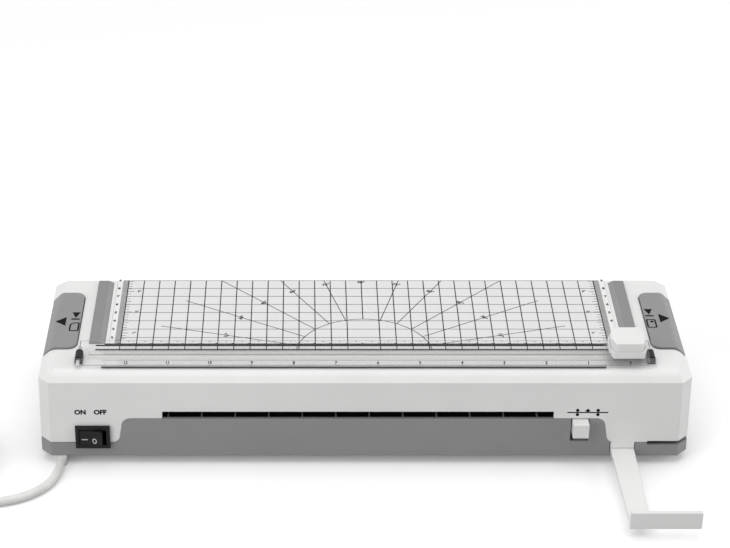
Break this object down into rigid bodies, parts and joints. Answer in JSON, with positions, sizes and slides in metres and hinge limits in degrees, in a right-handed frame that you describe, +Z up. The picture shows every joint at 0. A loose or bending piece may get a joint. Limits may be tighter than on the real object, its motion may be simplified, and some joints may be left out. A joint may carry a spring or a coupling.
{
  "type": "laminator with paper trimmer",
  "caption": "Desk machine that laminates between hot rollers, with a sliding trimmer on its lid, a corner-cutting press, a hole punch and a pull-out paper guide.",
  "frame": {"origin": "on the floor under the middle of the machine with its paper guide drawn out, without the cord", "axes": "+X to the right along the long side, +Y to the back, +Z up"},
  "size_m": [0.5592, 0.1982, 0.0785],
  "materials": {
    "grey_plastic": "moulded mid-grey plastic, fine grain",
    "white_plastic": "moulded white plastic, satin",
    "printed_mat": "white mat with printed grid and angle lines",
    "strip_plastic": "soft white cutting strip",
    "fence_plastic": "grey side fence",
    "foot_rubber": "black rubber",
    "zinc_steel": "zinc-plated sheet steel",
    "heater_aluminium": "plain aluminium",
    "black_plastic": "black plastic",
    "bush_bronze": "sintered bronze",
    "spring_steel": "drawn spring wire",
    "bright_steel": "ground steel",
    "silicone_rubber": "brick-red silicone sleeve",
    "gear_plastic": "natural acetal",
    "motor_steel": "plated motor can",
    "board_laminate": "green circuit board",
    "clear_acrylic": "clear acrylic",
    "grip_rubber": "black rubber",
    "dark_aluminium": "dark anodised strip",
    "press_steel": "die-cast press frame",
    "lever_plastic": "grey lever plastic, fine grain",
    "cord_vinyl": "white vinyl cord",
    "pin_brass": "nickel-plated brass"
  },
  "bodies": {
    "housing": {"base_housing": "grey_plastic", "top_cover": "white_plastic", "measuring_mat": "printed_mat", "cutting_strip": "strip_plastic", "right_fence": "fence_plastic", "left_fence": "fence_plastic", "feet": "foot_rubber", "base_screws": "zinc_steel", "right_frame": "zinc_steel", "left_frame": "zinc_steel", "lower_heater": "heater_aluminium", "upper_heater": "heater_aluminium", "entry_guide": "black_plastic", "exit_guide": "black_plastic", "lower_bushes": "bush_bronze", "pressure_springs": "spring_steel", "motor": "motor_steel", "circuit_board": "board_laminate", "rail_pin": "bright_steel", "hinge_lugs": "black_plastic", "punch_pin": "bright_steel", "punch_frame": "press_steel", "punch_spring": "spring_steel", "corner_pin": "bright_steel", "corner_frame": "press_steel", "corner_spring": "spring_steel", "switch_bezel": "black_plastic", "cord_gland": "cord_vinyl", "cord_lead": "cord_vinyl", "cord_coil": "cord_vinyl", "cord_tie": "grip_rubber", "plug_body": "cord_vinyl", "plug_pins": "pin_brass"},
    "rail": {"clear_rail": "clear_acrylic", "rail_grip": "grip_rubber", "slot_guides": "dark_aluminium"},
    "slider": {"slider_shoe": "clear_acrylic", "slider_housing": "white_plastic"},
    "button": {"cutter_button": "white_plastic", "blade_axle": "bright_steel"},
    "blade": {"round_blade": "bright_steel"},
    "switch_rocker": {"rocker": "black_plastic"},
    "release": {"jam_lever": "white_plastic", "release_shaft": "bright_steel"},
    "roller_carriage": {"upper_bearings": "bush_bronze"},
    "upper_roller": {"upper_shaft": "bright_steel", "upper_sleeve": "silicone_rubber", "upper_gear": "gear_plastic"},
    "lower_roller": {"lower_shaft": "bright_steel", "lower_sleeve": "silicone_rubber", "lower_gear": "gear_plastic"},
    "pinion": {"motor_pinion": "gear_plastic"},
    "corner_press": {"corner_lever": "lever_plastic"},
    "corner_punch": {"corner_plunger": "bright_steel"},
    "hole_press": {"punch_lever": "lever_plastic"},
    "hole_punch": {"punch_plunger": "bright_steel"},
    "guide": {"paper_guide": "white_plastic"}
  },
  "joints": [
    {"name": "rail_lift", "type": "hinge", "parent": "housing", "child": "rail", "pos_m": [-0.1735, -0.0059, 0.0655], "axis": [0, -1, 0], "range_deg": [0, 60]},
    {"name": "cutter_travel", "type": "slide", "parent": "rail", "child": "slider", "axis": [-1, 0, 0], "range_m": [0, 0.31]},
    {"name": "cutter_press", "type": "slide", "parent": "slider", "child": "button", "axis": [0, 0, -1], "range_m": [0, 0.0022], "stiffness_N_per_m": 900},
    {"name": "blade_turn", "type": "hinge", "parent": "button", "child": "blade", "pos_m": [0.1589, 0.0009, 0.0692], "axis": [0, 1, 0], "continuous": true},
    {"name": "rocker_tip", "type": "hinge", "parent": "housing", "child": "switch_rocker", "pos_m": [-0.1656, -0.02168, 0.01967], "axis": [0, 0.0523, 0.9986], "range_deg": [0, 18]},
    {"name": "jam_release", "type": "hinge", "parent": "housing", "child": "release", "pos_m": [0, 0.0281, 0.045], "axis": [1, 0, 0], "range_deg": [0, 5.3]},
    {"name": "roller_lift", "type": "slide", "parent": "housing", "child": "roller_carriage", "axis": [0, 0, 1], "range_m": [0, 0.0013], "stiffness_N_per_m": 600, "springref_m": -0.003, "deforming": ["pressure_springs"]},
    {"name": "lower_roller_turn", "type": "hinge", "parent": "housing", "child": "lower_roller", "pos_m": [0, 0.0471, 0.02335], "axis": [1, 0, 0], "continuous": true},
    {"name": "upper_roller_turn", "type": "hinge", "parent": "roller_carriage", "child": "upper_roller", "pos_m": [0, 0.0471, 0.04565], "axis": [1, 0, 0], "continuous": true},
    {"name": "pinion_turn", "type": "hinge", "parent": "housing", "child": "pinion", "pos_m": [0, 0.06383, 0.02335], "axis": [1, 0, 0], "continuous": true},
    {"name": "corner_lever_press", "type": "hinge", "parent": "housing", "child": "corner_press", "pos_m": [-0.1735, 0.0401, 0.0545], "axis": [0, -1, 0], "range_deg": [0, 16]},
    {"name": "corner_plunge", "type": "slide", "parent": "housing", "child": "corner_punch", "axis": [0, 0, -1], "range_m": [0, 0.0041], "stiffness_N_per_m": 100, "springref_m": -0.005, "deforming": ["corner_spring"]},
    {"name": "punch_lever_press", "type": "hinge", "parent": "housing", "child": "hole_press", "pos_m": [0.1735, 0.0401, 0.0545], "axis": [0, 1, 0], "range_deg": [0, 16]},
    {"name": "punch_plunge", "type": "slide", "parent": "housing", "child": "hole_punch", "axis": [0, 0, -1], "range_m": [0, 0.0041], "stiffness_N_per_m": 100, "springref_m": -0.005, "deforming": ["punch_spring"]},
    {"name": "guide_slide", "type": "slide", "parent": "housing", "child": "guide", "axis": [0, 1, 0], "range_m": [0, 0.0678]}
  ],
  "couplings": [
    {"joint": "jam_release", "follows": "roller_lift", "rad_per_m": 71.1},
    {"joint": "upper_roller_turn", "follows": "lower_roller_turn", "ratio": -1},
    {"joint": "pinion_turn", "follows": "lower_roller_turn", "ratio": -2},
    {"joint": "corner_lever_press", "follows": "corner_plunge", "rad_per_m": 68},
    {"joint": "punch_lever_press", "follows": "punch_plunge", "rad_per_m": 68}
  ]
}
